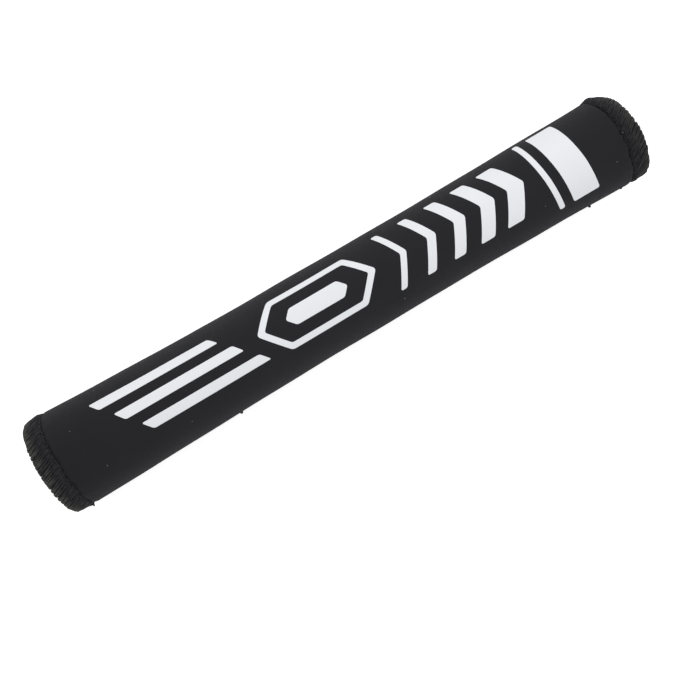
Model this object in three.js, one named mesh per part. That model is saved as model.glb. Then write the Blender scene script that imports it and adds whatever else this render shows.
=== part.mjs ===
/*
 * Chainstay protector: a sleeve of thin padded fabric that wraps round a bicycle's chainstay.
 *
 * One flat laminate panel is rolled round the X axis until its long edges lap underneath.
 * A hook tape inside the outer flap grips a loop tape on the turn below it.
 * All four edges are overlocked: a looped thread wraps each edge and shows as small ribs.
 * The roll is a little hourglass shaped, lies on a small flat spot, and carries a plain white print.
 *
 * Millimetres, +Z up. The sleeve runs along X and rests on Z = 0, with the origin below its middle.
 */
import * as THREE from 'three';

// The rolled panel
const LENGTH = 250;
const LEFT_RADIUS = 19.1;
const WAIST_RADIUS = 16.75;
const RIGHT_RADIUS = 17.3;
const SHEET_THICKNESS = 2.4;

// Angles round the roll, in degrees, counted from +Y over the top
const FULL_TURN = 360;
const TOP_ANGLE = 90;
const BOTTOM_ANGLE = 270;
const FLAP_EDGE_ANGLE = 220;
const OVERLAP_ANGLE = 90;
const FACET_ANGLE = 10;
const FLAT_SPOT_HALF_ANGLE = 20;

// The flap swells beyond the round tube, and the turn below it dips to make room for the lap
const FLAP_SWELL = 2.8;
const SWELL_FADE = { from: 88, to: 150 };
const DIP = { from: 320, to: 355 };

// The hook and loop tapes, and the clearance between pieces that are sewn or pressed together
const HOOK_THICKNESS = 0.8;
const LOOP_THICKNESS = 0.8;
const TAPE_WIDTH = 19;
const SEWN_GAP = 0.15;

// The overlock thread along the edges, a small gap off the cloth: high on its ribs and low between them
const BAND_WIDTH = 6.8;
const BAND_GAP = 0.3;
const THREAD_RIDGE = 0.65;
const THREAD_VALLEY = 0.35;
const SEAM_SQUEEZE = 0.9;
const RIB_LENGTH = 4.3;
const HIDDEN_RIB_LENGTH = 14;
const RIB_SLANT = 0.6;

// The panel is pinched in by the needle thread at each end's seam, and flares from there to the end
const SEAM_CREASE = 0.4;
const CREASE_REACH = 4;
const END_FLARE = 0.4;

// The white print: thin films, from the right end to the left. Each reaches this far across the top
const FILM_THICKNESS = 0.12;
const FILM_GAP = 0.12;
const BAR_LEAN = 0.08;
const END_BAND = { fromEnd: 22.5, width: 11, reach: 17 };
const END_LINE = { gap: 3.9, width: 2.2, reach: 17 };
const CHEVRONS = { count: 5, gap: 6.4, reach: 12.5, lean: 0.5, thickest: 7, thinnest: 2.6 };
const FRAME = { at: -9, gap: 4.15, length: 50, reach: 10.5, point: 9, stroke: 2.4 };
const FRAME_BAR = { length: 26, reach: 3.4, point: 3 };
const STRIPES = { count: 3, fromEnd: 27, gap: 1, stagger: 7, pitch: 7.4, width: 3.6, slant: 3 };

const COLOURS = {
  laminate: 0x25252a,
  thread: 0x1b1b1e,
  hook: 0x18181a,
  loop: 0x202023,
  print: 0xe8e8f0,
};

// Values that follow from the sizes above
const HALF_LENGTH = LENGTH / 2;
const TAPES_IN_LAP = HOOK_THICKNESS + LOOP_THICKNESS + 3 * SEWN_GAP;
const BANDS_IN_LAP = 2 * (BAND_GAP + THREAD_RIDGE) + SEWN_GAP;
const LAP_DEPTH = SHEET_THICKNESS + Math.max(TAPES_IN_LAP, BANDS_IN_LAP);
const SHEET_TURN = FULL_TURN + OVERLAP_ANGLE;
const TOP_TURN = FULL_TURN + TOP_ANGLE - FLAP_EDGE_ANGLE;
const PANEL_END = HALF_LENGTH - THREAD_RIDGE - BAND_GAP;
const SEAM_AT = HALF_LENGTH - BAND_WIDTH;
const CREASE_START = SEAM_AT - CREASE_REACH;
const degreesPerMillimetre = (radius) => 180 / (Math.PI * radius);
const LAP_DEGREES = degreesPerMillimetre(WAIST_RADIUS + FLAP_SWELL);
const TOP_DEGREES = degreesPerMillimetre(WAIST_RADIUS);
const END_BAND_RIGHT = HALF_LENGTH - END_BAND.fromEnd;
const END_LINE_RIGHT = END_BAND_RIGHT - END_BAND.width - END_LINE.gap;

// Where the facets begin and end along the panel: between the creases and out to the cut ends
const MIDDLE_PLACES = spread(-CREASE_START, CREASE_START, 8);
const PANEL_PLACES = [-PANEL_END, -SEAM_AT, ...MIDDLE_PLACES, SEAM_AT, PANEL_END];

// The tapes lie on whole facets of the panel, beside the overlock of the nearer long edge
const BAND_FACETS = Math.round(BAND_WIDTH * LAP_DEGREES / FACET_ANGLE);
const TAPE_FACETS = Math.round(TAPE_WIDTH * LAP_DEGREES / FACET_ANGLE);
const BAND_TURN = BAND_FACETS * FACET_ANGLE;
const TAPE_TURN = TAPE_FACETS * FACET_ANGLE;

// Evenly spaced numbers, both ends included
function spread(from, to, steps) {
  return Array.from({ length: steps + 1 }, (_, i) => THREE.MathUtils.lerp(from, to, i / steps));
}

// The plain hourglass of the roll, from its axis to the outside, without the creases at the ends
function hourglassRadius(x) {
  const along = x / HALF_LENGTH;
  const tilt = (RIGHT_RADIUS - LEFT_RADIUS) / 2;
  const bow = (RIGHT_RADIUS + LEFT_RADIUS) / 2 - WAIST_RADIUS;
  return WAIST_RADIUS + tilt * along + bow * along * along;
}

// Pinched at the end seams and flared beyond them
function tubeRadius(x) {
  const pastSeam = Math.abs(x) - SEAM_AT;
  const nearSeam = pastSeam > 0 ? 1 - pastSeam / BAND_WIDTH : 1 + pastSeam / CREASE_REACH;
  const crease = SEAM_CREASE * Math.max(0, nearSeam);
  const flare = END_FLARE * Math.max(0, pastSeam / BAND_WIDTH);
  return hourglassRadius(x) - crease + flare;
}

// The roll's axis stands at this height, so that its underside is one straight flat spot
function axisHeight(x) {
  return (hourglassRadius(x) + FLAP_SWELL) * Math.cos(THREE.MathUtils.degToRad(FLAT_SPOT_HALF_ANGLE));
}

// The end bands' thread lies between the panel and the ground
function groundClearance(x) {
  const nearSeam = 1 + (Math.abs(x) - SEAM_AT) / CREASE_REACH;
  return (THREAD_RIDGE + BAND_GAP) * THREE.MathUtils.clamp(nearSeam, 0, 1);
}

// A point of the rolled panel: x along it, turn in degrees from the flap's edge, depth below its outside
function onPanel(x, turn, depth) {
  const underFlap = THREE.MathUtils.smoothstep(turn, DIP.from, DIP.to);
  const pastFlap = THREE.MathUtils.smoothstep(turn, SWELL_FADE.from, SWELL_FADE.to);
  const swell = FLAP_SWELL * (1 - pastFlap + underFlap);
  const dip = LAP_DEPTH * underFlap;
  const round = tubeRadius(x) + swell - dip - depth;
  const degrees = FLAP_EDGE_ANGLE + turn;
  const fromBottom = Math.abs(THREE.MathUtils.euclideanModulo(degrees, FULL_TURN) - BOTTOM_ANGLE);
  const pastFlat = THREE.MathUtils.clamp((fromBottom - FLAT_SPOT_HALF_ANGLE) / FACET_ANGLE, 0, 1);
  const flatAngle = THREE.MathUtils.degToRad(Math.min(fromBottom, FLAT_SPOT_HALF_ANGLE));
  const flat = (axisHeight(x) - groundClearance(x) - dip - depth) / Math.cos(flatAngle);
  const radius = THREE.MathUtils.lerp(flat, round, pastFlat);
  const angle = THREE.MathUtils.degToRad(degrees);
  return new THREE.Vector3(x, radius * Math.cos(angle), axisHeight(x) + radius * Math.sin(angle));
}

// Closes one end of a loft whose loop runs out along one side and back along the other
function ladderCap(count) {
  const faces = [];
  for (let i = 0; i < count / 2 - 1; i += 1) {
    const across = count - 1 - i;
    faces.push([i, i + 1, across - 1], [i, across - 1, across]);
  }
  return faces;
}

// Closes one end of a loft from its loop's outline, seen along one axis and drawn by the other and Z
function outlineCap(loop, axis) {
  const outline = loop.map((point) => new THREE.Vector2(point[axis], point.z));
  const turned = THREE.ShapeUtils.isClockWise(outline);
  const order = loop.map((_, i) => (turned ? loop.length - 1 - i : i));
  const faces = THREE.ShapeUtils.triangulateShape(order.map((i) => outline[i]), []);
  return faces.map((face) => {
    const corners = face.map((i) => order[i]);
    return turned ? corners.reverse() : corners;
  });
}

// A closed body through a row of loops with equal numbers of points
function loft(loops, { ring = false, cap = (loop) => ladderCap(loop.length) } = {}) {
  const perLoop = loops[0].length;
  const positions = loops.flat().flatMap((point) => point.toArray());
  const indices = [];
  const bands = ring ? loops.length : loops.length - 1;
  for (let i = 0; i < bands; i += 1) {
    const here = i * perLoop;
    const next = ((i + 1) % loops.length) * perLoop;
    for (let j = 0; j < perLoop; j += 1) {
      const k = (j + 1) % perLoop;
      indices.push(here + j, here + k, next + k, here + j, next + k, next + j);
    }
  }
  if (!ring) {
    const last = (loops.length - 1) * perLoop;
    cap(loops[0]).forEach(([a, b, c]) => indices.push(c, b, a));
    cap(loops[loops.length - 1]).forEach(([a, b, c]) => indices.push(last + a, last + b, last + c));
  }
  const geometry = new THREE.BufferGeometry();
  geometry.setAttribute('position', new THREE.Float32BufferAttribute(positions, 3));
  geometry.setIndex(facingOut(positions, indices));
  geometry.computeVertexNormals();
  return geometry;
}

// Turns every face round if the body's signed volume says that they point inward
function facingOut(positions, indices) {
  const corner = (i) => new THREE.Vector3().fromArray(positions, 3 * i);
  let volume = 0;
  for (let i = 0; i < indices.length; i += 3) {
    volume += corner(indices[i]).dot(corner(indices[i + 1]).cross(corner(indices[i + 2])));
  }
  return volume < 0 ? indices.slice().reverse() : indices;
}

// The laminate between two turns and two depths, along a row of places
function panelPatch(places, turns, outside, inside) {
  const loops = turns.map((turn) => [
    ...places.map((x) => onPanel(x, turn, outside)),
    ...places.toReversed().map((x) => onPanel(x, turn, inside)),
  ]);
  return loft(loops);
}

function rolledPanel() {
  const facets = spread(0, SHEET_TURN, Math.round(SHEET_TURN / FACET_ANGLE));
  return panelPatch(PANEL_PLACES, facets, 0, SHEET_THICKNESS);
}

// A strip on whole facets of the panel, drawn in a little at both sides
function tape(firstTurn, depth, thickness) {
  const facets = spread(firstTurn, firstTurn + TAPE_TURN, TAPE_FACETS);
  const gap = SEWN_GAP * LAP_DEGREES;
  const turns = [facets[0] + gap, ...facets.slice(1, -1), facets.at(-1) - gap];
  return panelPatch(MIDDLE_PLACES, turns, depth, depth + thickness);
}

function hookTape() {
  return tape(BAND_TURN, SHEET_THICKNESS + SEWN_GAP, HOOK_THICKNESS);
}

function loopTape() {
  return tape(SHEET_TURN - BAND_TURN - TAPE_TURN, -SEWN_GAP - LOOP_THICKNESS, LOOP_THICKNESS);
}

// Thread thickness: every second station along an edge stands on a rib
function threadAt(station) {
  return station % 2 === 0 ? THREAD_RIDGE : THREAD_VALLEY;
}

// Overlock round a cut edge, as a C of [inward from the cut, depth] points. The cut edge lies at 0, and
// perMillimetre turns the thread's thickness into the units that inward is measured in
function bandSection(thread, seamAt, perMillimetre, closed = false) {
  const lift = BAND_GAP + thread;
  const liftAtSeam = BAND_GAP + thread * SEAM_SQUEEZE;
  const top = closed ? SHEET_THICKNESS / 2 : -BAND_GAP;
  const bottom = closed ? SHEET_THICKNESS / 2 + BAND_GAP : SHEET_THICKNESS + BAND_GAP;
  return {
    outside: [
      [seamAt, -liftAtSeam],
      [0, -lift],
      [-lift * perMillimetre, 0],
      [-lift * perMillimetre, SHEET_THICKNESS],
      [0, SHEET_THICKNESS + lift],
      [seamAt, SHEET_THICKNESS + liftAtSeam],
    ],
    inside: [
      [seamAt, bottom],
      [-BAND_GAP * perMillimetre, bottom],
      [-BAND_GAP * perMillimetre, top],
      [seamAt, top],
    ],
  };
}

// The ribbed band round one end of the roll: side is -1 for the left end and +1 for the right
function endOverlock(side) {
  const degrees = degreesPerMillimetre(tubeRadius(side * HALF_LENGTH));
  const gap = BAND_GAP * degrees;
  const pastEdge = (BAND_GAP + THREAD_RIDGE) * degrees;
  const ribsPerFacet = Math.max(1, Math.round(FACET_ANGLE / (RIB_LENGTH * degrees)));
  const ribTurns = spread(0, SHEET_TURN, 2 * ribsPerFacet * Math.round(SHEET_TURN / FACET_ANGLE));
  ribTurns[0] -= gap;
  ribTurns[ribTurns.length - 1] += gap;
  const rows = [
    { turn: -pastEdge, station: 1, closed: true },
    { turn: -2 * gap, station: 0, closed: true },
    ...ribTurns.map((turn, station) => ({ turn, station, closed: false })),
    { turn: SHEET_TURN + 2 * gap, station: 0, closed: true },
    { turn: SHEET_TURN + pastEdge, station: 1, closed: true },
  ];
  const loops = rows.map(({ turn, station, closed }) => {
    const section = bandSection(threadAt(station), PANEL_END - SEAM_AT, 1, closed);
    const place = (inward, atTurn, depth) => onPanel(side * (PANEL_END - inward), atTurn, depth);
    const slant = (inward) => (turn > SHEET_TURN ? 0 : RIB_SLANT * degrees * inward / BAND_WIDTH);
    return [
      ...section.outside.map(([inward, depth]) => place(inward, turn - slant(inward), depth)),
      ...section.inside.map(([inward, depth]) => place(inward, turn, depth)),
    ];
  });
  return loft(loops, { cap: (loop) => outlineCap(loop, 'x') });
}

// Places along the sleeve for whole ribs, with the panel's creases among them
function ribPlaces(reach, ribLength) {
  const steps = (distance) => 2 * Math.max(1, Math.round(distance / ribLength));
  const middle = spread(-CREASE_START, CREASE_START, steps(2 * CREASE_START));
  const end = spread(CREASE_START, reach, steps(reach - CREASE_START)).slice(1);
  return [...end.toReversed().map((x) => -x), ...middle, ...end];
}

// The ribbed band along one long edge, which starts at edgeTurn and runs inward by direction
function longOverlock(edgeTurn, direction, ribLength) {
  const facetLines = spread(0, BAND_TURN, BAND_FACETS).slice(1, -1);
  const bent = (depth) => facetLines.map((turn) => [turn, depth]);
  const loops = ribPlaces(SEAM_AT - BAND_GAP, ribLength).map((x, station) => {
    const section = bandSection(threadAt(station), BAND_TURN, LAP_DEGREES);
    const [seam, shoulder, edge, farEdge, farShoulder, farSeam] = section.outside;
    const [farInner, farCorner, nearCorner, nearInner] = section.inside;
    const loop = [
      seam, ...bent(shoulder[1]).toReversed(), shoulder, edge,
      farEdge, farShoulder, ...bent(farShoulder[1]), farSeam,
      farInner, ...bent(farInner[1]).toReversed(), farCorner,
      nearCorner, ...bent(nearInner[1]), nearInner,
    ];
    return loop.map(([inward, depth]) => onPanel(x, edgeTurn + direction * inward, depth));
  });
  return loft(loops, { cap: (loop) => outlineCap(loop, 'y') });
}

// A printed film through rows of [along, across] points, both measured on the sleeve's outside
function film(rows, ring = false) {
  const turn = (across) => TOP_TURN + across * TOP_DEGREES;
  const loops = rows.map((row) => [
    ...row.map(([along, across]) => onPanel(along, turn(across), -FILM_GAP - FILM_THICKNESS)),
    ...row.toReversed().map(([along, across]) => onPanel(along, turn(across), -FILM_GAP)),
  ]);
  return loft(loops, { ring });
}

// Enough rows that no step across the sleeve is wider than one facet of the panel
function rowsFor(distance) {
  return Math.max(1, Math.ceil(Math.abs(distance) * TOP_DEGREES / FACET_ANGLE));
}

// A bar across the sleeve's top, leaning a little along it
function crossBar(rightSide, { width, reach }) {
  const rows = spread(-reach, reach, 2 * rowsFor(reach)).map((across) => {
    const right = rightSide + BAR_LEAN * across;
    return [[right - width, across], [right, across]];
  });
  return film(rows);
}

// One of a row of chevrons that fill the space between the end line and the frame
function chevron(index) {
  const { count, gap, reach, lean, thickest, thinnest } = CHEVRONS;
  const first = END_LINE_RIGHT - END_LINE.width - gap;
  const last = FRAME.at + FRAME.length / 2 + FRAME.gap + thinnest + lean * reach;
  const share = index / (count - 1);
  const width = THREE.MathUtils.lerp(thickest, thinnest, share);
  const point = THREE.MathUtils.lerp(first, last, share);
  const rows = spread(-reach, reach, 2 * rowsFor(reach)).map((across) => {
    const front = point - lean * Math.abs(across);
    return [[front - width, across], [front, across]];
  });
  return film(rows);
}

// Corners of a long six-sided figure with pointed ends, drawn in from its outline by inset
function pointedOutline({ length, reach, point }, inset) {
  const slope = Math.hypot(point, reach) / reach;
  const tip = length / 2 - inset * slope;
  const side = reach - inset;
  const shoulder = tip - point * side / reach;
  const rightHalf = [[shoulder, -side], [tip, 0], [shoulder, side]];
  const leftHalf = [[-shoulder, side], [-tip, 0], [-shoulder, -side]];
  return [...rightHalf, ...leftHalf].map(([along, across]) => [FRAME.at + along, across]);
}

function pointedFrame() {
  const outer = pointedOutline(FRAME, 0);
  const inner = pointedOutline(FRAME, FRAME.stroke);
  const mix = (a, b, t) => [THREE.MathUtils.lerp(a[0], b[0], t), THREE.MathUtils.lerp(a[1], b[1], t)];
  const rows = outer.flatMap((corner, i) => {
    const next = (i + 1) % outer.length;
    const steps = 2 * rowsFor(outer[next][1] - corner[1]);
    const shares = spread(0, 1, steps).slice(0, -1);
    return shares.map((t) => [mix(corner, outer[next], t), mix(inner[i], inner[next], t)]);
  });
  return film(rows, true);
}

// A filled bar with pointed ends, inside the frame
function pointedBar() {
  const { length, reach, point } = FRAME_BAR;
  const rows = spread(-reach, reach, 2 * rowsFor(reach)).map((across) => {
    const half = length / 2 - point * Math.abs(across) / reach;
    return [[FRAME.at - half, across], [FRAME.at + half, across]];
  });
  return film(rows);
}

// Long stripes between the left end and the frame, each set back from the one beside it, with slanted ends
function stripe(index) {
  const { count, fromEnd, gap, stagger, pitch, width, slant } = STRIPES;
  const length = HALF_LENGTH - fromEnd + FRAME.at - FRAME.length / 2 - gap - stagger * (count - 1);
  const middle = pitch * (index - (count - 1) / 2);
  const rows = spread(-width / 2, width / 2, rowsFor(width)).map((offset) => {
    const left = fromEnd - HALF_LENGTH + stagger * index + slant * offset / width;
    return spread(left, left + length, 2).map((along) => [along, middle + offset]);
  });
  return film(rows);
}

const model = new THREE.Group();

function addPiece(name, geometry, color, roughness) {
  const material = new THREE.MeshStandardMaterial({ color, roughness, metalness: 0 });
  const piece = new THREE.Mesh(geometry, material);
  piece.name = name;
  model.add(piece);
}

addPiece('laminate_panel', rolledPanel(), COLOURS.laminate, 0.85);
addPiece('hook_tape', hookTape(), COLOURS.hook, 0.7);
addPiece('loop_tape', loopTape(), COLOURS.loop, 0.95);
addPiece('left_end_overlock', endOverlock(-1), COLOURS.thread, 0.75);
addPiece('right_end_overlock', endOverlock(1), COLOURS.thread, 0.75);
addPiece('flap_edge_overlock', longOverlock(0, 1, RIB_LENGTH), COLOURS.thread, 0.75);
addPiece('inner_edge_overlock', longOverlock(SHEET_TURN, -1, HIDDEN_RIB_LENGTH), COLOURS.thread, 0.75);
addPiece('print_end_band', crossBar(END_BAND_RIGHT, END_BAND), COLOURS.print, 0.55);
addPiece('print_end_line', crossBar(END_LINE_RIGHT, END_LINE), COLOURS.print, 0.55);
for (let i = 0; i < CHEVRONS.count; i += 1) {
  addPiece(`print_chevron_${i + 1}`, chevron(i), COLOURS.print, 0.55);
}
addPiece('print_frame', pointedFrame(), COLOURS.print, 0.55);
addPiece('print_frame_bar', pointedBar(), COLOURS.print, 0.55);
for (let i = 0; i < STRIPES.count; i += 1) {
  addPiece(`print_stripe_${i + 1}`, stripe(i), COLOURS.print, 0.55);
}

// Put the origin below the middle of the sleeve, on the ground
const extent = new THREE.Box3().setFromObject(model);
const middle = extent.getCenter(new THREE.Vector3());
model.position.set(-middle.x, -middle.y, -extent.min.z);

export default model;
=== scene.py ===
"""Looks of a rolled chainstay protector: knit-faced foam, ribbed overlock thread and a white film print."""

import math
import random

import bpy
import numpy as np
from mathutils import Matrix, Vector
from mathutils.geometry import delaunay_2d_cdt


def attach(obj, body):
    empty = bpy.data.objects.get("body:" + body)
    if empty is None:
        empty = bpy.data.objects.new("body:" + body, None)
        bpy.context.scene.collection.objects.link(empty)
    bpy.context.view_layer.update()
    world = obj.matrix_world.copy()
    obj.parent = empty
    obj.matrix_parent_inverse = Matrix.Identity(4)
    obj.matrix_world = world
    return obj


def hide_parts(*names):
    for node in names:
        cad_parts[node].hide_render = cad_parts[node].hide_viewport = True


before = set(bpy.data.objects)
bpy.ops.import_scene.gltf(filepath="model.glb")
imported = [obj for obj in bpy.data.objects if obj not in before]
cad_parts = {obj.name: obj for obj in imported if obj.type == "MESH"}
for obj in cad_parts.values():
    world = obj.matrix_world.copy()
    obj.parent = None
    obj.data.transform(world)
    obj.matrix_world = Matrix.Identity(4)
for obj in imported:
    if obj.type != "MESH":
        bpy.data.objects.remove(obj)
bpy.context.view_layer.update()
MM = 0.001
rng = random.Random(20)

# The roll, in millimetres and degrees, as the construction has it
LENGTH = 250.0
HALF_LENGTH = LENGTH / 2
LEFT_RADIUS = 19.1
WAIST_RADIUS = 16.75
RIGHT_RADIUS = 17.3
SHEET = 2.4
SHEET_TURN = 450.0
FLAP_EDGE_ANGLE = 220.0
BOTTOM_ANGLE = 270.0
TOP_ANGLE = 450.0
TOP_TURN = TOP_ANGLE - FLAP_EDGE_ANGLE
FLAT_SPOT_HALF_ANGLE = 20.0
BAND_WIDTH = 6.8
SEAM_AT = HALF_LENGTH - BAND_WIDTH
THREAD_ROOM = 0.95
PANEL_END = HALF_LENGTH - THREAD_ROOM
TAPE_TURN = 60
TAPE_END = SEAM_AT - 4.2
HOOK_TAPE_TURN = 20
LOOP_TAPE_TURN = 370

# The lap: how far the flap stands out, how deep the inner turn lies, and between which turns that fades
FLAP_SWELL = 2.8
SWELL_FADE = (88.0, 150.0)
LAP_DEPTH = 4.45
DIP = (320.0, 355.0)

# Degrees of turn for a millimetre of cloth, in the lap and on top
LAP_DEGREES = math.degrees(1 / (WAIST_RADIUS + FLAP_SWELL))
TOP_DEGREES = math.degrees(1 / WAIST_RADIUS)

# How the hand-rolled foam departs from an even roll
SLOW_WAVE = 0.20
QUICK_WAVE = 0.09
PUCKER = 0.07
LOWER_SIDE_BULGE = 1.05
UPPER_SIDE_BULGE = 0.45
UPPER_BULGE_AT = 70
LEFT_SLACK = 0.35
LEFT_SLACK_AT = -65
SEAM_CREASE = 0.85
CREASE_REACH = 0.85
RIGHT_SEAM_SHIFT = 1.0
SEAM_WOBBLE = 0.22
SQUEEZE = 0.3
SQUEEZE_REACH = 4.5

# How the end bands bulge, turn in and reach out
LEFT_TUCK = 0.9
LOWER_TUCK = 0.75
RIGHT_BULGE = 0.2
RIGHT_TUCK = 2.2
END_LEAN = 1.1
LEFT_SWELL = 0.75
RIGHT_SWELL = 1.25

# The overlock: its way round the cut edge, its stitch and how far its loops lean
SEAM_INWARD = 6.3
EDGE_ROUND = 0.95
WAY_ROUND = 2 * (SEAM_INWARD - EDGE_ROUND) + math.pi * EDGE_ROUND
STITCH = 2.1
LEFT_LEAN = 0.5
RIGHT_LEAN = 0.8
LONG_LEAN = 0.1
SETTLED_STITCHES = 7

# The lift with which a line round a cut edge just reaches the edge of the sleeve
FLUSH_LIFT = 0.25

# The ground layer of thread: its height, and what is added by its ribs, at the rim and by the seams
GROUND_HEIGHT = 0.12
RIB_HEIGHT = 0.12
RIM_HEIGHT = 0.12
SEAM_HEIGHT = 0.14
CAP_LENGTH = 1.0
CAP_START = 0.45
CAP_DROP = 0.1

# The looper thread. Each leg has its places as shares of the way round, and how deep it is sunk there.
THREAD_RADIUS = 0.34
THREAD_LIFT = 0.34
EDGE_LOOSENESS = 0.1
LEG_APART = 0.38
LOOP_TIP = 0.07
LEG_OUT = np.array([0.0, 0.012, 0.035, 0.08, 0.16, 0.26, 0.35, 0.43, 0.475])
LEG_SUNK = np.array([0.75, 0.35, 0.08, 0.0, 0.0, 0.0, 0.0, 0.0, -0.10])

# One needle stitch, one lockstitch and one hook or loop of a tape, each as (along, height)
NEEDLE_RADIUS = 0.23
NEEDLE_STITCH = np.array([[0.02, -0.5], [0.14, -0.05], [0.35, 0.22],
                          [0.65, 0.22], [0.86, -0.05], [0.98, -0.5]])
LOCKSTITCH_RADIUS = 0.15
LOCKSTITCH_LENGTH = 2.3
LOCKSTITCH_GAP = 0.5
LOCKSTITCH = np.array([[0.0, -0.25], [0.12, 0.02], [0.5, 0.10], [0.88, 0.02], [1.0, -0.25]])
TUFT = np.array([[0, -0.05], [0.1, 0.6], [0.5, 1.0], [1.0, 0.75], [1.1, 0.4]])
HOOKS = {"pitch": 1.6, "across": 12, "height": 0.42, "lean": 0.35, "radius": 0.09}
LOOPS = {"pitch": 1.3, "across": 14, "height": 0.40, "lean": 0.8, "radius": 0.06}

# The print, in millimetres along the roll from its middle and across from its top
END_BAND = {"at": 97, "width": 11, "reach": 17, "lean": 0.08}
END_LINE = {"at": 86.5, "width": 2.2, "reach": 17, "lean": 0.08}
CHEVRONS = {"count": 5, "first": 79, "pitch": 12.5, "reach": 12.5, "lean": 0.5}
CHEVRON_WIDTHS = (7, 2.6)
FRAME = {"at": -9, "length": 50, "reach": 10.5, "point": 9}
FRAME_LINE = 2.4
FRAME_BAR = {"at": -9, "length": 26, "reach": 3.4, "point": 3}
STRIPES = {"count": 3, "first": -98, "stagger": 7, "pitch": 7.4}
STRIPE = {"length": 49, "width": 3.6, "slant": 3}
PRINT_CORNER = 0.9
FRAME_CORNERS = (1.2, 0.8)
FILM_EDGE_HEIGHT = 0.08
FILM_HEIGHT = 0.10
FILM_UNDERSIDE = 0.005

# Knots of loose thread on the lower side's outline as the camera sees it: (along, reach, length)
KNOT_TURN = 322.0
KNOT_RADIUS = 0.38
KNOTS = [(99.7, 0.6, 0.8), (113.6, 0.15, 0.9), (118.6, 0.6, 1.0), (-54, 0.5, 0.8)]

# Lint, at (along, across) from the middle of the roll's top
LINT_RADIUS = 0.07
LINT_AT = [(-120.2, -12.9), (119.5, 3.1), (112.8, 11.3), (81.8, 12.0), (-109, -4), (-96, -15),
           (-70, 14), (20, 16), (48, -17), (-104, 12)]

# The construction is centred on its box, so the roll is moved across by the same amount.
# It is also lifted clear of the floor, by less than a hair.
MOVED = np.array([0, -0.18, 0.03])


def smooth(value, low, high):
    """0 below low, 1 above high, and a soft step between."""
    share = np.clip((value - low) / (high - low), 0, 1)
    return share * share * (3 - 2 * share)


def hump(value, middle, reach):
    """1 in the middle, and fading to 0 on both sides of it."""
    return np.exp(-((value - middle) / reach) ** 2)


def hourglass(x):
    """The roll's radius at x: widest at the left end, narrowest near the middle."""
    along = x / HALF_LENGTH
    tilt = (RIGHT_RADIUS - LEFT_RADIUS) / 2
    bow = (RIGHT_RADIUS + LEFT_RADIUS) / 2 - WAIST_RADIUS
    return WAIST_RADIUS + tilt * along + bow * along ** 2


def seam_shift(x, angle):
    """How much nearer to its end the needle line runs: more on top at the right, and a wobble."""
    wobble = SEAM_WOBBLE * np.sin(7 * angle + 2 * np.sin(3 * angle))
    return wobble + np.where(x > 0, RIGHT_SEAM_SHIFT, 0) * np.clip(np.sin(angle), 0, 1) ** 2


def beyond_seam(x, angle):
    """How far a place on the roll lies past the needle line of the nearer end."""
    return np.abs(x) - SEAM_AT - seam_shift(x, angle)


def relief(x, angle, past_seam):
    """The soft, uneven hand-rolled surface of the foam, in millimetres."""
    slow = SLOW_WAVE * np.sin(x / 19 + 1.3) * np.sin(2 * angle + 0.4)
    quick = QUICK_WAVE * np.sin(x / 6.7 + 3 * angle) * np.sin(x / 31 - 1.1)
    to_lower_side = np.clip(-np.cos(angle), 0, 1) ** 2
    slack = LOWER_SIDE_BULGE * (0.6 + 0.4 * (x / HALF_LENGTH) ** 2)
    dent = LEFT_SLACK * hump(x, LEFT_SLACK_AT, 28)
    full = UPPER_SIDE_BULGE * hump(x, UPPER_BULGE_AT, 26) * np.clip(np.cos(angle), 0, 1) ** 2
    pucker = PUCKER * hump(past_seam, 0, 3.5) * np.sin(17 * angle + 2.2 * np.sin(5 * angle))
    return slow + quick + pucker + full + (slack + dent) * to_lower_side


def crease(x, angle, past_seam):
    """How deep the needle thread draws the foam in, which varies round the roll."""
    uneven = 0.72 + 0.28 * np.sin(13 * angle + 2 * np.sin(4 * angle) + x / 40)
    return SEAM_CREASE * uneven * hump(past_seam, 0, CREASE_REACH)


def end_shape(x, angle, past_seam):
    """How the band at each end bulges and turns in, in millimetres."""
    to_upper_side = 0.5 + 0.5 * np.cos(angle)
    left = -LEFT_TUCK * np.clip(past_seam / BAND_WIDTH, 0, 1)
    bulge = RIGHT_BULGE * smooth(past_seam, 0, 2.0)
    right = bulge - RIGHT_TUCK * smooth(past_seam, 2.0, BAND_WIDTH)
    lower = -LOWER_TUCK * smooth(past_seam, 0, 3.5)
    return np.where(x < 0, left, right) * to_upper_side + lower * (1 - to_upper_side)


def end_reach(x, angle):
    """How far a place moves along the roll, as the ends lean and swell out at the top."""
    lean = -END_LEAN * np.clip(x / HALF_LENGTH, 0, 1) ** 2 * np.clip(np.cos(angle), -0.25, 1)
    high = np.clip(np.sin(angle), -0.2, 1)
    out = np.where(x < 0, -LEFT_SWELL, RIGHT_SWELL) * high
    return lean, out * smooth(np.abs(x), SEAM_AT, HALF_LENGTH)


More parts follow.
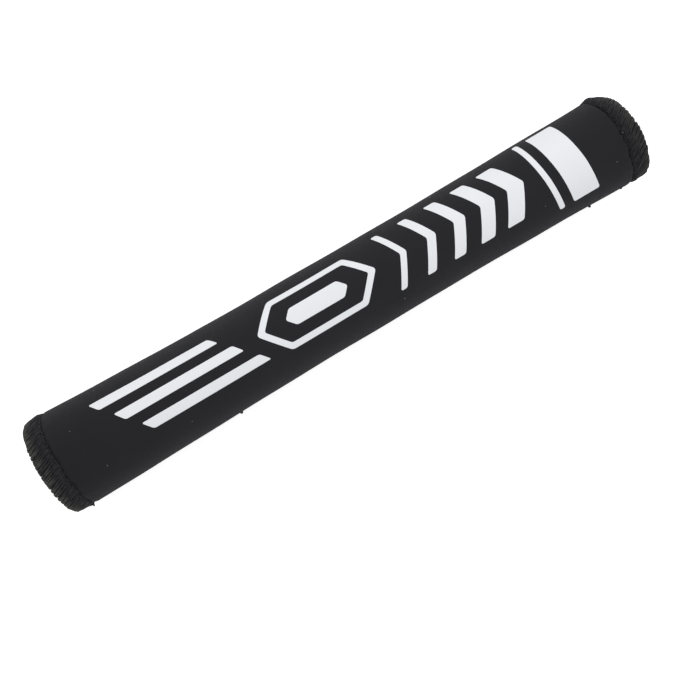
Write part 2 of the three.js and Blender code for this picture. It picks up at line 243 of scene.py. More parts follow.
def on_roll(x, turn, depth):
    """Points of the rolled panel: x along it, turn from the flap's edge, depth below its outside."""
    x, turn, depth = np.broadcast_arrays(*(np.asarray(a, float) for a in (x, turn, depth)))
    degrees = FLAP_EDGE_ANGLE + turn
    angle = np.radians(degrees)
    past_seam = beyond_seam(x, angle)
    under_flap = smooth(turn, *DIP)
    past_flap = smooth(turn, *SWELL_FADE)
    swell = FLAP_SWELL * (1 - past_flap + under_flap)
    dip = LAP_DEPTH * under_flap
    shaped = hourglass(x) - crease(x, angle, past_seam)
    shaped = shaped + end_shape(x, angle, past_seam) + relief(x, angle, past_seam)
    full = shaped + swell - dip - depth
    from_bottom = np.abs(np.mod(degrees, 360) - BOTTOM_ANGLE)
    past_flat = smooth(from_bottom, FLAT_SPOT_HALF_ANGLE - 3, FLAT_SPOT_HALF_ANGLE + 12)
    flat_angle = np.radians(np.minimum(from_bottom, FLAT_SPOT_HALF_ANGLE + 4))
    axis = (hourglass(x) + FLAP_SWELL) * math.cos(math.radians(FLAT_SPOT_HALF_ANGLE))
    clearance = THREAD_ROOM * smooth(past_seam, -4, 0)
    flat = (axis - clearance - dip - depth) / np.cos(flat_angle)
    radius = flat + (full - flat) * past_flat
    lean, swollen = end_reach(x, angle)
    return np.stack([x + lean + swollen, radius * np.cos(angle), axis + radius * np.sin(angle)], -1)


class Body:
    """Gathers points and faces in millimetres, and makes one mesh piece of them."""

    def __init__(self):
        self.points = []
        self.faces = []
        self.uvs = []
        self.count = 0

    def add(self, points, faces, uvs):
        points = points.reshape(-1, 3)
        self.points.append(points)
        self.uvs.append(uvs.reshape(-1, 2))
        self.faces.extend(tuple(i + self.count for i in face) for face in faces)
        self.count += len(points)

    def make(self, name, finish, replaced=()):
        points = (np.concatenate(self.points) + MOVED) * MM
        mesh = bpy.data.meshes.new(name)
        mesh.from_pydata(points.tolist(), [], self.faces)
        corner = np.zeros(len(mesh.loops), np.int32)
        mesh.loops.foreach_get("vertex_index", corner)
        layer = mesh.uv_layers.new(name="cloth")
        layer.data.foreach_set("uv", np.concatenate(self.uvs)[corner].ravel())
        mesh.polygons.foreach_set("use_smooth", [True] * len(mesh.polygons))
        mesh.update()
        piece = bpy.data.objects.new(name, mesh)
        bpy.context.scene.collection.objects.link(piece)
        piece.data.materials.append(finish)
        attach(piece, "root")
        if replaced:
            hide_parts(*replaced)
        return piece


def faces_round(rows, around):
    """The faces between rows of points, each row going round a body."""
    faces = []
    for first in range(0, (rows - 1) * around, around):
        for j in range(around):
            k = (j + 1) % around
            faces.append((first + j, first + k, first + around + k, first + around + j))
    return faces


def facing_out(points, faces):
    """Turns all the four-sided faces round if the volume that they close comes out negative."""
    a, b, c, d = (points[np.array(faces)[:, n]] for n in range(4))
    volume = (a * np.cross(b, c)).sum() + (a * np.cross(c, d)).sum()
    return [face[::-1] for face in faces] if volume < 0 else faces


def loft(body, loops, uvs):
    """A closed body through loops[i, j]: each loop runs out along one side and back along the other."""
    rows, around = loops.shape[:2]
    faces = faces_round(rows, around)
    last = (rows - 1) * around
    for j in range(around // 2 - 1):
        k = around - 1 - j
        faces.append((j, k, k - 1, j + 1))
        faces.append((last + j, last + j + 1, last + k - 1, last + k))
    body.add(loops, facing_out(loops.reshape(-1, 3), faces), uvs)


def tube(body, path, radius, sides=6):
    """A round thread along a path, with its ends closed to a blunt tip."""
    ahead = np.gradient(path, axis=0)
    ahead /= np.linalg.norm(ahead, axis=1)[:, None]
    side = np.cross(ahead[0], [0.3, 0.5, 0.81])
    side /= np.linalg.norm(side)
    turns = np.linspace(0, 2 * math.pi, sides, endpoint=False)
    run = np.concatenate([[0], np.cumsum(np.linalg.norm(np.diff(path, axis=0), axis=1))])
    last = len(path) - 1
    rings, uvs = [], []
    for i, (point, forward) in enumerate(zip(path, ahead)):
        side = side - forward * side.dot(forward)
        side /= np.linalg.norm(side)
        up = np.cross(forward, side)
        size = radius * (0.55 if i in (0, last) else 1.0)
        ring = np.outer(np.cos(turns), side) + np.outer(np.sin(turns), up)
        rings.append(point + size * ring)
        uvs.append(np.stack([np.full(sides, run[i]), turns / (2 * math.pi)], -1))
    faces = faces_round(len(path), sides)
    faces.append(tuple(range(sides))[::-1])
    faces.append(tuple(last * sides + j for j in range(sides)))
    body.add(np.concatenate(rings), faces, np.concatenate(uvs))


def rolled_patch(body, places, turns, outside, inside):
    """A layer of the roll between two depths, which may vary from place to place."""
    x, turn = np.meshgrid(places, turns, indexing="ij")
    upper = on_roll(x, turn, outside(x, turn))
    lower = on_roll(x, turn, inside(x, turn))
    flat = np.stack([x, turn / TOP_DEGREES], -1)
    loops = np.concatenate([upper, lower[:, ::-1]], axis=1)
    uvs = np.concatenate([flat, flat[:, ::-1]], axis=1)
    loft(body, loops, uvs)


def level(depth):
    """An even depth, for a layer that is the same all over."""
    return lambda x, turn: depth


class Value:
    """A shader socket that can stand in a sum: each operator adds its Math node."""

    def __init__(self, finish, socket):
        self.finish = finish
        self.socket = socket

    def math(self, operation, *others):
        inputs = dict(enumerate((self, *others)))
        return self.finish.add("Math", {"operation": operation}, inputs)

    def __add__(self, other):
        return self.math("ADD", other)

    def __sub__(self, other):
        return self.math("SUBTRACT", other)

    def __mul__(self, other):
        return self.math("MULTIPLY", other)

    def __truediv__(self, other):
        return self.math("DIVIDE", other)

    def __rsub__(self, other):
        return self.finish.add("Math", {"operation": "SUBTRACT"}, {0: other, 1: self})

    __radd__ = __add__
    __rmul__ = __mul__


class Finish:
    """One material's nodes."""

    def __init__(self, name):
        self.material = bpy.data.materials.new(name)
        self.material.use_nodes = True
        self.nodes = self.material.node_tree.nodes
        self.links = self.material.node_tree.links
        self.nodes.clear()

    def add(self, kind, settings=None, inputs=None, output=0):
        """A node of this kind: its settings first, then its sockets' values or links."""
        node = self.nodes.new("ShaderNode" + kind)
        for name, value in (settings or {}).items():
            if name == "stops":
                self.set_stops(node.color_ramp, value)
            else:
                setattr(node, name, value)
        for name, value in (inputs or {}).items():
            if isinstance(value, Value):
                self.links.new(value.socket, node.inputs[name])
            else:
                node.inputs[name].default_value = value
        return Value(self, node.outputs[output]) if node.outputs else None

    @staticmethod
    def set_stops(ramp, stops):
        while len(ramp.elements) < len(stops):
            ramp.elements.new(0.5)
        for element, (place, shade) in zip(ramp.elements, stops):
            element.position = place
            element.color = (shade, shade, shade, 1)

    def coordinate(self, place, axis):
        return self.add("SeparateXYZ", None, {0: place}, axis)

    def cloth_place(self):
        """The flat cloth's own coordinates in millimetres: the place, along and across."""
        place = self.add("UVMap", {"uv_map": "cloth"})
        return place, self.coordinate(place, 0), self.coordinate(place, 1)

    def object_place(self):
        """The piece's own coordinates in metres."""
        return self.add("TexCoord", None, None, 3)

    def step(self, value, low, high):
        """0 below low, 1 above high, and a straight slope between."""
        return self.add("MapRange", None, {0: value, 1: low, 2: high, 3: 0.0, 4: 1.0})

    def noise(self, place, scale, detail=2.0, roughness=0.5):
        inputs = {"Vector": place, "Scale": scale, "Detail": detail, "Roughness": roughness}
        return self.add("TexNoise", None, inputs)

    def ramp(self, value, *stops):
        return self.add("ValToRGB", {"stops": stops}, {0: value})

    def blend(self, factor, first, second):
        """Mixes two colours."""
        return self.add("Mix", {"data_type": "RGBA"}, {0: factor, 6: first, 7: second}, 2)

    def bump(self, height, distance, strength=1.0, below=None):
        inputs = {"Height": height, "Distance": distance, "Strength": strength}
        if below is not None:
            inputs["Normal"] = below
        return self.add("Bump", None, inputs)

    def surface(self, **sockets):
        """The Principled shader. A socket's name is written with _ for its spaces."""
        inputs = {name.replace("_", " "): value for name, value in sockets.items()}
        shader = self.add("BsdfPrincipled", None, inputs)
        self.add("OutputMaterial", None, {0: shader})
        return self.material


def grey(shade, blue=1.0):
    """A grey, with its blue changed by a factor."""
    return (shade, shade, shade * blue, 1)


# Colours. Where there are two, a noise blends them.
KNIT = (grey(0.0130, 1.24), grey(0.0176, 1.24))
KNIT_BY_ENDS = grey(0.0075, 1.24)
# Painted shade, for the needle line's crease on the knit and the ground between the thread's loops
PAINTED_SHADE = grey(0.002, 1.2)
FLUFF = grey(0.075, 1.05)
THREAD = (grey(0.003, 1.25), grey(0.0255, 1.2))
# Paler colours for the rim: partly the thread's fuzz, partly painted highlight, with the left rim painted
# lighter than the right
RIGHT_RIM = (0.041, 0.040, 0.035, 1)
LEFT_RIM = (0.082, 0.080, 0.069, 1)
HOOK_TAPE = (grey(0.007), grey(0.018))
LOOP_TAPE = (grey(0.008), grey(0.028))
FILM = ((0.775, 0.790, 0.822, 1), (0.805, 0.820, 0.853, 1))
FILM_SPECK = grey(0.45)
LINT = (grey(0.20), grey(0.38))
WHITE = (1, 1, 1, 1)
PAPER = grey(0.86)

# Strength of the floor's glow and of the light from all round
FLOOR_GLOW = 0.62
SOFT_LIGHT = 0.72

# Sizes of a knit stitch, in millimetres
WALE = 0.62
COURSE = 0.48


def knit_height(finish, along, across):
    """Height of a fine jersey knit: rows of V stitches."""
    column = (across / WALE).math("FRACT") - 0.5
    leg = column.math("ABSOLUTE") * 2
    rib = (leg * math.pi).math("SINE")
    slope = (along / COURSE + leg * 0.8) * (2 * math.pi)
    return rib * 0.6 + slope.math("SINE") * 0.25


def needle_line_shade(finish, place, along, across):
    """A broken line of painted shade in the crease where the needle went in, along the same wobbly line as
    seam_shift's.
    """
    angle = (across * TOP_DEGREES + FLAP_EDGE_ANGLE) * math.radians(1)
    high = finish.step(angle.math("SINE"), 0.0, 1.0)
    wobble = (angle * 7 + (angle * 3).math("SINE") * 2).math("SINE") * SEAM_WOBBLE
    shift = high * high * finish.step(along, 0.0, 1.0) * RIGHT_SEAM_SHIFT + wobble
    from_seam = (along.math("ABSOLUTE") - SEAM_AT - shift).math("ABSOLUTE")
    broken = finish.step(finish.noise(place, 0.75, 1.0), 0.44, 0.54)
    return finish.step(from_seam, 0.9, 0.4) * broken


def jersey_finish():
    """Blue-black knit on foam, with a soft sheen where it turns away and a little pale fluff."""
    finish = Finish("jersey_laminate")
    place, along, across = finish.cloth_place()
    soft = finish.noise(place, 0.09, 3.0)
    fluff = finish.ramp(finish.noise(place, 2.4, 4.0, 0.7), (0.66, 0.0), (0.74, 1.0))
    crease_shade = needle_line_shade(finish, place, along, across)
    from_middle = (along - 15) / 140
    to_ends = from_middle * from_middle
    shade = finish.blend(soft, *KNIT)
    shade = finish.blend(to_ends * 0.5, shade, KNIT_BY_ENDS)
    # Painted shade along the needle line's crease, broken into dashes
    shade = finish.blend(crease_shade * 0.95, shade, PAINTED_SHADE)
    colour = finish.blend(fluff * 0.35, shade, FLUFF)
    grain = finish.noise(place, 6.0, 2.0)
    height = knit_height(finish, along, across) + grain * 0.5
    wave = finish.bump(soft, 0.0004, 0.5)
    normal = finish.bump(height, 0.00009, 0.7, wave)
    return finish.surface(Base_Color=colour, Roughness=0.86 - fluff * 0.05, Normal=normal,
                          Sheen_Weight=0.05, Sheen_Roughness=0.5, Specular_IOR_Level=0.2)


def thread_finish():
    """Bulky black sewing thread: painted shade on the ground between the loops, and paler, warmer patches at
    the rim that are partly the thread's fuzz and partly painted highlight.
    """
    finish = Finish("overlock_thread")
    place, along, around = finish.cloth_place()
    solid = finish.object_place()
    twist = ((along * 2.2 + around) * (2 * math.pi)).math("SINE")
    fuzz = finish.noise(solid, 2600, 3.0, 0.7)
    from_middle = finish.coordinate(solid, 0).math("ABSOLUTE")
    at_left = finish.coordinate(solid, 0).math("LESS_THAN", 0.0)
    rim = finish.step(from_middle, (HALF_LENGTH - 3.3) * MM, (HALF_LENGTH - 0.8) * MM)
    # Paler, warmer patches at the rim: partly the cut edge's fuzz, partly painted highlight
    rim_fuzz_and_highlight = rim * finish.step(finish.noise(solid, 420, 2.0), 0.30, 0.65)
    paler = finish.step(finish.noise(solid, 700, 1.0), 0.35, 0.65)
    ground = around.math("LESS_THAN", -1.0)
    by_seam = finish.step((around + 8).math("ABSOLUTE"), 0.9, 1.7)
    rim_tone = finish.blend(at_left, RIGHT_RIM, LEFT_RIM)
    shade = finish.blend(fuzz * 0.5 + paler * 0.5, *THREAD)
    shade = finish.blend(rim_fuzz_and_highlight * 0.9, shade, rim_tone)
    # Painted shade on the ground between the loops, with less of it by the seams
    shade = finish.blend(ground * (0.85 - by_seam * 0.35), shade, PAINTED_SHADE)
    normal = finish.bump(twist + fuzz, 0.00006, 0.8)
    return finish.surface(Base_Color=shade, Roughness=0.6 + fuzz * 0.2, Normal=normal,
                          Sheen_Weight=0.10, Sheen_Roughness=0.4, Specular_IOR_Level=0.25)


def hook_finish():
    """Stiff black nylon."""
    finish = Finish("hook_strip")
    fine = finish.noise(finish.object_place(), 1500, 3.0)
    shade = finish.blend(fine, *HOOK_TAPE)
    return finish.surface(Base_Color=shade, Roughness=0.45 + fine * 0.2,
                          Normal=finish.bump(fine, 0.0001, 0.7))


def loop_finish():
    """Soft black pile."""
    finish = Finish("loop_strip")
    pile = finish.noise(finish.object_place(), 1100, 4.0, 0.7)
    shade = finish.blend(pile, *LOOP_TAPE)
    return finish.surface(Base_Color=shade, Roughness=0.9, Normal=finish.bump(pile, 0.0003, 1.0),
                          Sheen_Weight=0.6, Sheen_Roughness=0.5)


def print_finish():
    """White transfer film, satin, with the knit showing faintly through."""
    finish = Finish("white_film")
    place, along, across = finish.cloth_place()
    stain = finish.noise(place, 0.35, 4.0, 0.6)
    specks = finish.ramp(finish.noise(place, 3.1, 2.0, 0.8), (0.27, 1.0), (0.31, 0.0))
    clean = finish.blend(stain, *FILM)
    colour = finish.blend(specks * 0.18, clean, FILM_SPECK)
    height = knit_height(finish, along, across) * 0.5 + stain
    normal = finish.bump(height, 0.00005, 0.5)
    return finish.surface(Base_Color=colour, Roughness=0.48 + stain * 0.12, Normal=normal,
                          Specular_IOR_Level=0.35)


def lint_finish():
    """Dusty pale fibre."""
    finish = Finish("pale_lint")
    fine = finish.noise(finish.object_place(), 900, 2.0)
    shade = finish.blend(fine, *LINT)
    return finish.surface(Base_Color=shade, Roughness=0.8)


def squeezed(x, turn):
    """How far the overlock presses the foam in near a cut edge."""
    from_end = PANEL_END - np.abs(x)
    from_long_edge = np.minimum(turn, SHEET_TURN - turn) / LAP_DEGREES
    return SQUEEZE * (1 - smooth(np.minimum(from_end, from_long_edge), 0, SQUEEZE_REACH))


def panel_places():
    """Places along the panel: close together by the seams, wider apart in the middle."""
    from_end = np.concatenate([np.linspace(0, 3, 6), np.linspace(3.2, 8, 25), np.linspace(8.8, 16, 9)])
    middle = np.linspace(-PANEL_END + 17.4, PANEL_END - 17.4, 110)
    return np.concatenate([-PANEL_END + from_end, middle, PANEL_END - from_end[::-1]])


def laminate_panel(finish):
    body = Body()
    turns = np.linspace(0, SHEET_TURN, 201)
    rolled_patch(body, panel_places(), turns, squeezed, lambda x, turn: SHEET - squeezed(x, turn))
    return body.make("panel_cloth", finish, ["laminate_panel"])


def unrolled_width():
    """Mean length of the panel's middle layer across the roll, which is the flat sheet's width."""
    places = np.linspace(-PANEL_END, PANEL_END, 25)
    x, turn = np.meshgrid(places, np.linspace(0, SHEET_TURN, 361), indexing="ij")
    layer = on_roll(x, turn, SHEET / 2)
    return np.linalg.norm(np.diff(layer, axis=1), axis=2).sum(1).mean()


class Edge:
    """A cut edge to overlock. place makes points of a run along it, a way inward and a depth."""

    def __init__(self, place, start, stop, lean):
        self.place = place
        self.start = start
        self.stop = stop
        self.lean = lean
        self.stitches = int((stop - start) / STITCH)
        self.pitch = (stop - start) / self.stitches


def end_edge(side):
    """The edge of one end, which runs round the roll."""
    degrees = math.degrees(1 / hourglass(side * HALF_LENGTH))

    def place(run, inward, depth):
        turn = run * degrees
        shift = seam_shift(side, np.radians(FLAP_EDGE_ANGLE + turn))
        narrowed = inward * (1 - shift / SEAM_INWARD)
        return on_roll(side * (HALF_LENGTH - narrowed), turn, depth)

    return Edge(place, 0.0, SHEET_TURN / degrees, LEFT_LEAN if side < 0 else -RIGHT_LEAN)


def long_edge(edge_turn, direction):
    """One long edge, which runs along the roll between the end bands."""

    def place(run, inward, depth):
        return on_roll(run, edge_turn + direction * inward * LAP_DEGREES, depth)

    return Edge(place, -SEAM_AT + 0.3, SEAM_AT - 0.3, direction * LONG_LEAN)


def round_the_edge(share, lift):
    """(inward, depth) of a line round a cut edge: share 0 is the outer seam, 1 the inner one."""
    straight = SEAM_INWARD - EDGE_ROUND
    run = share * WAY_ROUND
    turned = np.clip((run - straight) / EDGE_ROUND, 0, math.pi)
    past = np.maximum(0, run - straight - math.pi * EDGE_ROUND)
    beyond = (lift - FLUSH_LIFT) * np.sin(turned)
    inward = np.maximum(0, straight - run) + past + EDGE_ROUND * (1 - np.sin(turned)) - beyond
    depth = SHEET / 2 - (SHEET / 2 + lift) * np.cos(turned)
    return inward, depth


def ground_lift(edge, run, share):
    """Height of the thread's ground: ribbed as the loops lean, and higher at the rim and by the seams."""
    from_seam = np.minimum(share, 1 - share)
    slanted = run - edge.start - edge.lean * WAY_ROUND * from_seam
    rib = 0.5 - 0.5 * np.cos(slanted * (2 * math.pi / (edge.pitch / 2)))
    lift = GROUND_HEIGHT + RIB_HEIGHT * rib * smooth(from_seam, 0, 0.08)
    lift += RIM_HEIGHT * smooth(share, 0.3, 0.5) * smooth(1 - share, 0.3, 0.5)
    lift += SEAM_HEIGHT * smooth(from_seam, 0, 0.06) * (1 - smooth(from_seam, 0.1, 0.28))
    lift[[0, -1]] -= CAP_DROP
    return lift


def band_ground(body, edge):
    """The low ribbed layer of thread that covers the cut edge, closed by a cap at each end of its run."""
    steps = int((edge.stop - edge.start) / STITCH * 8)
    start_cap = [edge.start - CAP_LENGTH, edge.start - CAP_START]
    stop_cap = [edge.stop + CAP_START, edge.stop + CAP_LENGTH]
    runs = np.concatenate([start_cap, np.linspace(edge.start, edge.stop, steps + 1), stop_cap])
    capped = np.ones((len(runs), 1))
    capped[2:-2] = 0
    run, share = np.meshgrid(runs, np.linspace(0, 1, 27), indexing="ij")
    outer = edge.place(run, *round_the_edge(share, ground_lift(edge, run, share)))
    inward, depth = round_the_edge(share, 0.03)
    inward = np.maximum(inward, 0.75)
    depth = depth * (1 - capped) + (SHEET / 2 + 0.02 * (depth - SHEET / 2)) * capped
    inner = edge.place(run, inward, depth)
    uv = np.stack([run * 0.4, share * 4 - 10], -1)
    loops = np.concatenate([outer, inner[:, ::-1]], axis=1)
    loft(body, loops, np.concatenate([uv, uv[:, ::-1]], axis=1))


def looper_thread(body, edge, inside):
    """One looper thread: out from each needle hole to the edge, round it, and back to the next hole."""
    gathered = smooth(LEG_OUT, -0.02, 0.3)
    loose = EDGE_LOOSENESS * smooth(LEG_OUT, 0.36, 0.5)
    rows = []
    for stitch in range(edge.stitches):
        middle = stitch + (1.0 if inside else 0.5) + rng.uniform(-0.07, 0.07)
        tight = rng.choice((0, 0, 0, 0, 0.18))
        lift = THREAD_LIFT + rng.uniform(-0.10, 0.07) - tight - LEG_SUNK + loose * rng.uniform(0.5, 1.4)
        settled = smooth(min(stitch, edge.stitches - 1 - stitch), 0, SETTLED_STITCHES)
        uneven = 0.35 * math.sin(stitch * 0.31) + rng.uniform(-0.25, 0.25)
        slant = (edge.lean * WAY_ROUND / edge.pitch + uneven) * settled * LEG_OUT
        out = LEG_OUT + rng.uniform(-0.018, 0.018) * (1 - gathered)
        apart = LEG_APART - (LEG_APART - rng.uniform(0.13, 0.22)) * gathered
        leg_out = np.stack([edge.start + edge.pitch * (middle - apart + slant), out, lift], -1)
        leg_back = np.stack([edge.start + edge.pitch * (middle + apart + slant), out, lift], -1)
        turn_at = edge.start + edge.pitch * (middle + slant[-1])
        tip = LOOP_TIP * edge.pitch
        loop = np.array([[turn_at - tip, 0.5, lift[-1]], [turn_at + tip, 0.5, lift[-1]]])
        rows.extend([leg_out, loop, leg_back[::-1]])
    run, out, lift = np.concatenate(rows).T
    run = np.clip(run, edge.start - 0.5, edge.stop + 0.5)
    inward, depth = round_the_edge(1 - out if inside else out, lift)
    tube(body, edge.place(run, inward, depth), THREAD_RADIUS)


def needle_thread(body, edge):
    """The straight stitches along the inner side of the band, each sunk at its two holes."""
    for stitch in range(edge.stitches):
        run = edge.start + (stitch + NEEDLE_STITCH[:, 0]) * edge.pitch
        inward = SEAM_INWARD + 0.15 + rng.uniform(-0.2, 0.2)
        tube(body, edge.place(run, inward, -NEEDLE_STITCH[:, 1]), NEEDLE_RADIUS)


def overlock(name, finish, edge, node, strays=()):
    """All the thread of one edge, with any stray ends that stand out near it."""
    body = Body()
    band_ground(body, edge)
    looper_thread(body, edge, False)
    looper_thread(body, edge, True)
    needle_thread(body, edge)
    for stray in strays:
        tube(body, stray, KNOT_RADIUS, 8)
    return body.make(name, finish, [node])


def stray_knots():
    """Small knots of loose thread on the sleeve's lower side, and one loose end by the left seam."""
    strays = []
    for x, reach, length in KNOTS:
        t = np.linspace(0, 1, 11)
        bulge = reach * np.sin(math.pi * t)
        strays.append(on_roll(x + length * (t - 0.5), KNOT_TURN + 2 * t, 0.2 - bulge))
    t = np.linspace(0, 1, 5)
    strays.append(on_roll(-SEAM_AT - 0.6 + 0.1 * t, KNOT_TURN, 0.5 - 2.1 * t))
    return strays


def tape_strip(name, finish, node, first_turn, outside, inside, tufts, outward):
    """A sewn tape: its woven ground, and rows of small hooks or loops on the gripping side."""
    body = Body()
    last_turn = first_turn + TAPE_TURN
    places = np.linspace(-TAPE_END, TAPE_END, 150)
    turns = np.linspace(first_turn + 0.6, last_turn - 0.6, 28)
    rolled_patch(body, places, turns, level(outside), level(inside))
    grip = outside if outward else inside
    reach = -tufts["height"] if outward else tufts["height"]
    for x in np.arange(places[0] + 1, places[-1] - 1, tufts["pitch"]):
        for turn in np.linspace(first_turn + 3, last_turn - 3, tufts["across"]):
            at = x + rng.uniform(-0.2, 0.2)
            lean = rng.choice((-1, 1)) * tufts["lean"]
            path = on_roll(at + lean * TUFT[:, 0], turn, grip + reach * TUFT[:, 1])
            tube(body, path, tufts["radius"], 4)
    return body.make(name, finish, [node])


def tape_stitching(finish):
    """The lockstitch rows that hold the tapes, where they show on the far side of the panel."""
    body = Body()
    last_start = SEAM_AT - 5 - LOCKSTITCH_LENGTH
    starts = np.arange(-SEAM_AT + 5, last_start, LOCKSTITCH_LENGTH + LOCKSTITCH_GAP)
    for first_turn, face, away in ((HOOK_TAPE_TURN, 0, -1), (LOOP_TAPE_TURN, SHEET, 1)):
        for turn in (first_turn + 2.5, first_turn + TAPE_TURN - 2.5):
            for start in starts:
                depth = face + away * LOCKSTITCH[:, 1]
                aside = turn + rng.uniform(-0.25, 0.25)
                path = on_roll(start + LOCKSTITCH_LENGTH * LOCKSTITCH[:, 0], aside, depth)
                tube(body, path, LOCKSTITCH_RADIUS)
    return body.make("tape_stitching", finish)


def rounded(corners, radius, steps=4):
    """An outline with each of its corners turned into a small arc."""
    corners = [np.array(c, float) for c in corners]
    points = []
    for i, corner in enumerate(corners):
        before = corners[i - 1] - corner
        after = corners[(i + 1) % len(corners)] - corner
        reach = min(radius, np.linalg.norm(before) / 2.2, np.linalg.norm(after) / 2.2)
        first = corner + before / np.linalg.norm(before) * reach
        second = corner + after / np.linalg.norm(after) * reach
        for t in np.linspace(0, 1, steps + 1):
            points.append(first * (1 - t) ** 2 + corner * 2 * t * (1 - t) + second * t ** 2)
    return np.array(points)


def resampled(outline, spacing):
    """The outline with its long sides cut into steps of about the spacing."""
    points = []
    for a, b in zip(outline, np.roll(outline, -1, axis=0)):
        steps = max(1, int(np.linalg.norm(b - a) / spacing))
        points.extend(a + (b - a) * n / steps for n in range(steps))
    return np.array(points)


def inside_outline(points, outline):
    """Which points lie inside a closed outline."""
    x, y = points[:, 0][:, None], points[:, 1][:, None]
    a, b = outline, np.roll(outline, -1, axis=0)
    crosses = (a[:, 1] > y) != (b[:, 1] > y)
    slope = (b[:, 0] - a[:, 0]) / np.where(b[:, 1] == a[:, 1], 1e-9, b[:, 1] - a[:, 1])
    return (crosses & (x < a[:, 0] + slope * (y - a[:, 1]))).sum(1) % 2 == 1


def in_film(points, rings):
    """Which points lie inside the first ring and outside the others."""
    inside = inside_outline(points, rings[0])
    for hole in rings[1:]:
        inside &= ~inside_outline(points, hole)
    return inside


def film_grid(rings):
    """An even grid of points inside a film, clear of its edges."""
    edge = np.concatenate(rings)
    low, high = edge.min(0), edge.max(0)
    grid = np.meshgrid(np.arange(low[0], high[0], 1.1), np.arange(low[1], high[1], 0.9))
    grid = np.stack(grid, -1).reshape(-1, 2)
    grid = grid[in_film(grid, rings)]
    near = [np.hypot(*(edge - point).T).min() > 0.45 for point in grid]
    return grid[np.array(near, bool)]


def film(body, *outlines):
    """A thin printed shape on the roll: its outline and any hole, as [along, across] in millimetres."""
    rings = [resampled(outline, 0.7) for outline in outlines]
    sides, first = [], 0
    for ring in rings:
        count = len(ring)
        sides.extend((first + n, first + (n + 1) % count) for n in range(count))
        first += count
    flat = np.concatenate([*rings, film_grid(rings)])
    made = delaunay_2d_cdt([Vector(p) for p in flat], sides, [], 0, 1e-6)
    spots = np.array([tuple(p) for p in made[0]])
    faces = np.array([tuple(face) for face in made[2]])
    faces = faces[in_film(spots[faces].mean(1), rings)]
    on_edge = np.arange(len(spots)) < first
    turn = TOP_TURN + spots[:, 1] * TOP_DEGREES
    top = on_roll(spots[:, 0], turn, -np.where(on_edge, FILM_EDGE_HEIGHT, FILM_HEIGHT))
    under = on_roll(spots[:, 0], turn, -FILM_UNDERSIDE)
    count = len(spots)
    ups = [tuple(f) for f in faces]
    downs = [tuple(count + i for i in f[::-1]) for f in faces]
    rims = [(b, a, a + count, b + count) for a, b in sides]
    sample = spots[list(ups[0])]
    u, v = sample[1] - sample[0], sample[2] - sample[0]
    if u[0] * v[1] - u[1] * v[0] < 0:
        ups, downs = [f[::-1] for f in ups], [f[::-1] for f in downs]
    body.add(np.concatenate([top, under]), ups + downs + rims, np.concatenate([spots, spots]))


def bar_outline(at, width, reach, lean):
    """A bar across the roll."""
    half = width / 2
    return [[at - half - lean * reach, -reach], [at + half - lean * reach, -reach],
            [at + half + lean * reach, reach], [at - half + lean * reach, reach]]


def chevron_outline(point, width, reach, lean):
    """An arrow head that points to the right end."""
    back = lean * reach
    return [[point, 0], [point - back, reach], [point - back - width, reach],
            [point - width, 0], [point - back - width, -reach], [point - back, -reach]]


def pointed_outline(at, length, reach, point, inset=0.0):
    """A long six-sided shape with a point at both ends, or the same shape inset evenly."""
    slope = math.hypot(point, reach) / reach
    tip = length / 2 - inset * slope
    side = reach - inset
    shoulder = tip - point * side / reach
    return [[at + tip, 0], [at + shoulder, side], [at - shoulder, side],
            [at - tip, 0], [at - shoulder, -side], [at + shoulder, -side]]


def stripe_outline(start, middle, length, width, slant):
    """A stripe along the roll with slanted ends."""
    half = width / 2
    return [[start - slant / 2, middle - half], [start - slant / 2 + length, middle - half],
            [start + slant / 2 + length, middle + half], [start + slant / 2, middle + half]]


def white_print(finish):
    body = Body()
    film(body, rounded(bar_outline(**END_BAND), PRINT_CORNER))
    film(body, rounded(bar_outline(**END_LINE), PRINT_CORNER))
    wide, narrow = CHEVRON_WIDTHS
    for n in range(CHEVRONS["count"]):
        point = CHEVRONS["first"] - CHEVRONS["pitch"] * n
        width = wide + (narrow - wide) * n / (CHEVRONS["count"] - 1)
        film(body, rounded(chevron_outline(point, width, CHEVRONS["reach"], CHEVRONS["lean"]), PRINT_CORNER))
    outer_corner, inner_corner = FRAME_CORNERS
    film(body, rounded(pointed_outline(**FRAME), outer_corner),
         rounded(pointed_outline(**FRAME, inset=FRAME_LINE), inner_corner))
    film(body, rounded(pointed_outline(**FRAME_BAR), PRINT_CORNER))
    for n in range(STRIPES["count"]):
        start = STRIPES["first"] + STRIPES["stagger"] * n
        film(body, rounded(stripe_outline(start, STRIPES["pitch"] * (n - 1), **STRIPE), PRINT_CORNER))
    nodes = [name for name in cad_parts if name.startswith("print_")]
    piece = body.make("white_print", finish, nodes)
    piece.data.set_sharp_from_angle(angle=math.radians(50))
    return piece


def lint(finish):
    """A few short pale fibres that lie on the cloth."""
    body = Body()
    for along, across in LINT_AT:
        heading = rng.uniform(0, math.pi)
        length = rng.uniform(0.25, 0.6)
        curl = rng.uniform(-0.5, 0.5)
        t = np.linspace(-0.5, 0.5, 7)
        x = along + length * (t * math.cos(heading) - curl * t * t * math.sin(heading))
        y = across + length * (t * math.sin(heading) + curl * t * t * math.cos(heading))
        lift = 0.30 + 0.25 * (0.25 - t * t)
        tube(body, on_roll(x, TOP_TURN + y * TOP_DEGREES, -lift), LINT_RADIUS, 5)
    return body.make("lint", finish)


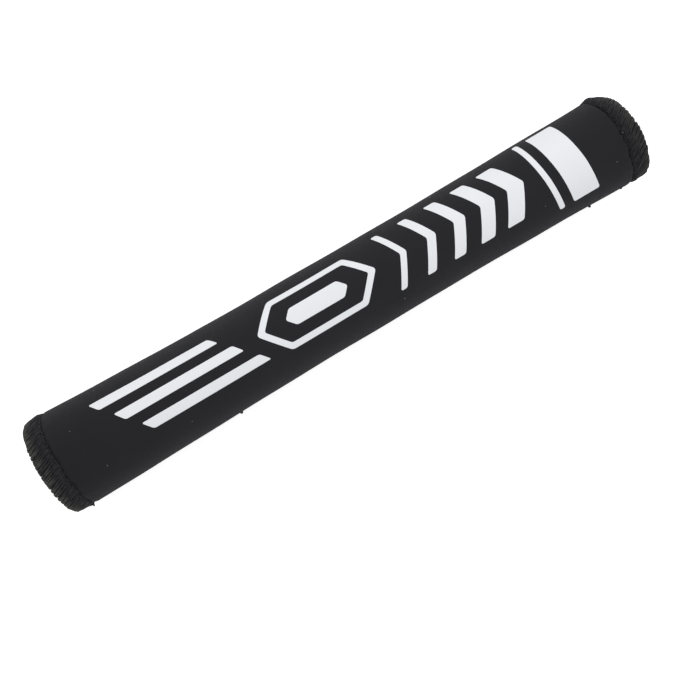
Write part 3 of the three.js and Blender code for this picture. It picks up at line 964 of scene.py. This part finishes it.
def camera():
    """The photograph's camera, fitted to the sleeve's outline in a picture of 700 pixels."""
    eye = Vector((-19.0, -73.85, 409.7)) * MM
    target = Vector((-6.9, -19.15, 19.0)) * MM
    roll = -0.538
    focal_pixels = 1045.7
    data = bpy.data.cameras.new("camera")
    data.sensor_width = 36
    data.lens = 36 * focal_pixels / 700
    data.clip_start = 0.01
    data.clip_end = 20
    view = (target - eye).normalized()
    across = Vector((math.cos(roll), math.sin(roll), 0))
    right = (across - view * across.dot(view)).normalized()
    up = right.cross(view)
    turned = Matrix((right, up, -view)).transposed()
    camera_object = bpy.data.objects.new("camera", data)
    bpy.context.scene.collection.objects.link(camera_object)
    camera_object.matrix_world = Matrix.Translation(eye) @ turned.to_4x4()
    bpy.context.scene.camera = camera_object


def ground():
    """A plain white floor, white to the camera, that keeps the sleeve's soft shadow."""
    mesh = bpy.data.meshes.new("floor")
    size = 4.0
    corners = [(-size, -size, 0), (size, -size, 0), (size, size, 0), (-size, size, 0)]
    mesh.from_pydata(corners, [], [(0, 1, 2, 3)])
    floor = bpy.data.objects.new("floor", mesh)
    bpy.context.scene.collection.objects.link(floor)
    finish = Finish("floor_paper")
    seen = finish.add("LightPath", None, None, 0)
    paper = finish.add("BsdfDiffuse", None, {"Color": PAPER})
    glow = finish.add("Emission", None, {"Color": WHITE, "Strength": FLOOR_GLOW})
    bright = finish.add("AddShader", None, {0: paper, 1: glow})
    shown = finish.add("MixShader", None, {0: seen, 1: paper, 2: bright})
    finish.add("OutputMaterial", None, {0: shown})
    floor.data.materials.append(finish.material)


def lamp(name, place, size, power):
    """A soft lamp that faces the sleeve."""
    data = bpy.data.lights.new(name, "AREA")
    data.shape = "RECTANGLE"
    data.size, data.size_y = size
    data.energy = power
    lamp_object = bpy.data.objects.new(name, data)
    lamp_object.location = place
    lamp_object.rotation_mode = "QUATERNION"
    lamp_object.rotation_quaternion = (-Vector(place)).to_track_quat("-Z", "Y")
    bpy.context.scene.collection.objects.link(lamp_object)


def light():
    """A white backdrop for the camera, an even soft light, and two lamps."""
    world = bpy.data.worlds.new("studio")
    bpy.context.scene.world = world
    world.use_nodes = True
    nodes, links = world.node_tree.nodes, world.node_tree.links
    nodes.clear()
    path = nodes.new("ShaderNodeLightPath")
    backdrop = nodes.new("ShaderNodeBackground")
    backdrop.inputs["Color"].default_value = WHITE
    soft = nodes.new("ShaderNodeBackground")
    soft.inputs["Color"].default_value = WHITE
    soft.inputs["Strength"].default_value = SOFT_LIGHT
    mix = nodes.new("ShaderNodeMixShader")
    out = nodes.new("ShaderNodeOutputWorld")
    links.new(path.outputs["Is Camera Ray"], mix.inputs[0])
    links.new(soft.outputs[0], mix.inputs[1])
    links.new(backdrop.outputs[0], mix.inputs[2])
    links.new(mix.outputs[0], out.inputs[0])
    lamp("key", (0.2, 0.6, 0.75), (0.7, 0.5), 2.9)
    lamp("fill", (0.35, -0.6, 0.6), (0.8, 0.6), 1.3)


bpy.context.scene.view_settings.view_transform = "Standard"
camera()
ground()
light()

thread = thread_finish()
panel = laminate_panel(jersey_finish())
left_band = overlock("left_end_thread", thread, end_edge(-1), "left_end_overlock")
right_band = overlock("right_end_thread", thread, end_edge(1), "right_end_overlock")
flap_band = overlock("flap_edge_thread", thread, long_edge(0.0, 1), "flap_edge_overlock", stray_knots())
inner_band = overlock("inner_edge_thread", thread, long_edge(SHEET_TURN, -1), "inner_edge_overlock")
hook_strip = tape_strip("hook_strip", hook_finish(), "hook_tape", HOOK_TAPE_TURN,
                        SHEET + 0.12, SHEET + 0.45, HOOKS, False)
loop_strip = tape_strip("loop_strip", loop_finish(), "loop_tape", LOOP_TAPE_TURN,
                        -0.45, -0.12, LOOPS, True)
stitching = tape_stitching(thread)
film_print = white_print(print_finish())
lint_piece = lint(lint_finish())

unrolled_width() * MM
